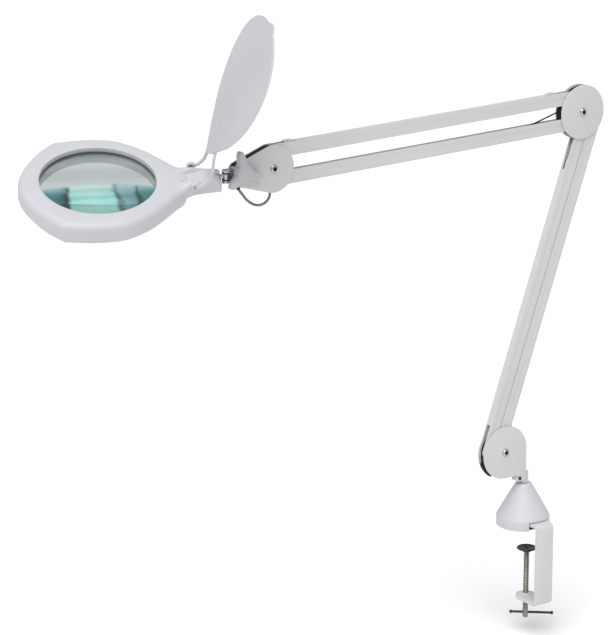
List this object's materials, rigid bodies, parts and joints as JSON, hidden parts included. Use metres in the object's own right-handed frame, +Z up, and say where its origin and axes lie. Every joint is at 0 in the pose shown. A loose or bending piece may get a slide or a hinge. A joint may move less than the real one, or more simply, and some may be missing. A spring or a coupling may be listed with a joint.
{
  "type": "clamp-on magnifying lamp",
  "caption": "Clamp-on magnifying lamp: round lens in a ring of light with a hinged cover, on a jointed arm of parallel bars.",
  "frame": {"origin": "on the swivel axis, on the underside of the clamp's upper rubber pad, where it rests on the table top", "axes": "+Z up along the swivel axis; the arm lies in the XZ plane and the head reaches out towards -X; the clamp's back is towards -Y"},
  "size_m": [0.7055, 0.2614, 0.7413],
  "materials": {
    "white_paint": "satin white powder coat",
    "white_plastic": "semi-gloss",
    "cover_plastic": "semi-gloss",
    "black_plastic": "satin",
    "rubber": "matte",
    "chrome": "polished",
    "steel": "zinc plated",
    "dark_steel": "blackened",
    "brass": "turned",
    "grey_cable": "matte",
    "circuit_board": "satin",
    "diffuser": "translucent white",
    "glass": "polished"
  },
  "bodies": {
    "clamp": {"clamp_frame": "white_paint", "table_pad": "rubber", "base_bell": "white_plastic", "swivel_bush": "brass"},
    "screw_pad": {"screw_pad": "dark_steel"},
    "clamp_screw": {"clamp_screw": "dark_steel"},
    "tommy_bar": {"tommy_bar": "dark_steel"},
    "base_hub": {"swivel_post": "steel", "base_foot": "white_paint", "foot_screw": "black_plastic", "base_plate_front": "white_paint", "base_plate_rear": "white_paint", "base_web": "black_plastic", "base_screw": "chrome", "base_nut": "chrome", "base_pin_a": "steel", "base_pin_b": "steel"},
    "lower_bar_a": {"lower_bar_a": "white_paint", "lower_spring_a": "steel"},
    "lower_bar_b": {"lower_bar_b": "white_paint", "lower_spring_b": "steel"},
    "elbow_hub": {"elbow_plate_front": "white_paint", "elbow_plate_rear": "white_paint", "elbow_web": "black_plastic", "elbow_screw": "chrome", "elbow_nut": "chrome", "elbow_pin_a": "steel", "elbow_pin_b": "steel", "elbow_pin_low": "steel", "elbow_pin_top": "steel"},
    "upper_bar_low": {"upper_bar_low": "white_paint", "upper_spring": "steel", "spring_link": "steel"},
    "upper_bar_top": {"upper_bar_top": "white_paint"},
    "head_hub": {"head_plate_front": "white_paint", "head_plate_rear": "white_paint", "head_web": "black_plastic", "head_screw": "chrome", "head_nut": "chrome", "head_pin_low": "steel", "head_pin_top": "steel", "tilt_nut": "chrome", "head_lead": "grey_cable"},
    "knob": {"tilt_knob": "white_plastic", "tilt_bolt": "steel"},
    "knuckle": {"tilt_knuckle": "chrome", "swing_pin": "steel"},
    "stub": {"head_stub": "chrome"},
    "head": {"top_shell": "white_plastic", "low_shell": "white_plastic", "neck_block": "white_plastic", "lens": "glass", "lens_retainer": "white_plastic", "led_board": "circuit_board", "led_diffuser": "diffuser", "cover_pin_near": "steel", "cover_pin_far": "steel"},
    "switch": {"switch_button": "black_plastic"},
    "cover": {"lens_cover": "cover_plastic"}
  },
  "joints": [
    {"name": "base_swivel", "type": "hinge", "parent": "clamp", "child": "base_hub", "pos_m": [0, 0, 0.05], "axis": [0, 0, 1], "range_deg": [-175, 175]},
    {"name": "lower_arm", "type": "hinge", "parent": "base_hub", "child": "lower_bar_a", "pos_m": [-0.05627, 0, 0.0982], "axis": [0, 1, 0], "range_deg": [-80, 1], "deforming": ["lower_spring_a", "lower_spring_b"]},
    {"name": "lower_arm_parallel", "type": "hinge", "parent": "base_hub", "child": "lower_bar_b", "pos_m": [-0.03305, 0, 0.1172], "axis": [0, 1, 0], "range_deg": [-80, 1]},
    {"name": "elbow_level", "type": "hinge", "parent": "lower_bar_a", "child": "elbow_hub", "pos_m": [0.06863, 0, 0.45285], "axis": [0, 1, 0], "range_deg": [-1, 80]},
    {"name": "upper_arm", "type": "hinge", "parent": "elbow_hub", "child": "upper_bar_low", "pos_m": [0.06037, 0, 0.46609], "axis": [0, 1, 0], "range_deg": [-42, 50], "deforming": ["upper_spring", "spring_link"]},
    {"name": "upper_arm_parallel", "type": "hinge", "parent": "elbow_hub", "child": "upper_bar_top", "pos_m": [0.05916, 0, 0.49607], "axis": [0, 1, 0], "range_deg": [-42, 50]},
    {"name": "head_level", "type": "hinge", "parent": "upper_bar_low", "child": "head_hub", "pos_m": [-0.34831, 0, 0.44968], "axis": [0, 1, 0], "range_deg": [-50, 42]},
    {"name": "knob_turn", "type": "hinge", "parent": "head_hub", "child": "knob", "pos_m": [-0.39098, -0.01, 0.46343], "axis": [0, 1, 0], "range_deg": [-180, 180]},
    {"name": "head_tilt", "type": "hinge", "parent": "head_hub", "child": "knuckle", "pos_m": [-0.39098, 0, 0.46343], "axis": [0, 1, 0], "range_deg": [-45, 15], "deforming": ["head_lead"]},
    {"name": "head_swing", "type": "hinge", "parent": "knuckle", "child": "stub", "pos_m": [-0.40598, 0, 0.45943], "axis": [0, 0, 1], "range_deg": [-25, 4]},
    {"name": "head_roll", "type": "hinge", "parent": "stub", "child": "head", "pos_m": [-0.40598, 0, 0.45943], "axis": [0.9063, -0.4226, 0], "range_deg": [-90, 90]},
    {"name": "cover_hinge", "type": "hinge", "parent": "head", "child": "cover", "pos_m": [-0.43702, 0.01389, 0.46072], "axis": [0.391, 0.8385, 0.3795], "range_deg": [-112, 0]},
    {"name": "switch_press", "type": "slide", "parent": "head", "child": "switch", "axis": [-0.1604, -0.3439, 0.9252], "range_m": [0, 0.0012], "stiffness_N_per_m": 400},
    {"name": "clamp_screw_travel", "type": "slide", "parent": "clamp", "child": "screw_pad", "axis": [0, 0, 1], "range_m": [-0.048, 0.012]},
    {"name": "clamp_screw_turn", "type": "hinge", "parent": "screw_pad", "child": "clamp_screw", "pos_m": [0, -0.0085, -0.07], "axis": [0, 0, 1], "range_deg": [-8640.3, 2160.3]},
    {"name": "tommy_slide", "type": "slide", "parent": "clamp_screw", "child": "tommy_bar", "axis": [0.7716, -0.6361, 0], "range_m": [-0.0258, 0.0118]}
  ],
  "couplings": [
    {"joint": "lower_arm_parallel", "follows": "lower_arm", "ratio": 1},
    {"joint": "elbow_level", "follows": "lower_arm", "ratio": -1},
    {"joint": "upper_arm_parallel", "follows": "upper_arm", "ratio": 1},
    {"joint": "head_level", "follows": "upper_arm", "ratio": -1},
    {"joint": "clamp_screw_turn", "follows": "clamp_screw_travel", "rad_per_m": 3141.6}
  ]
}
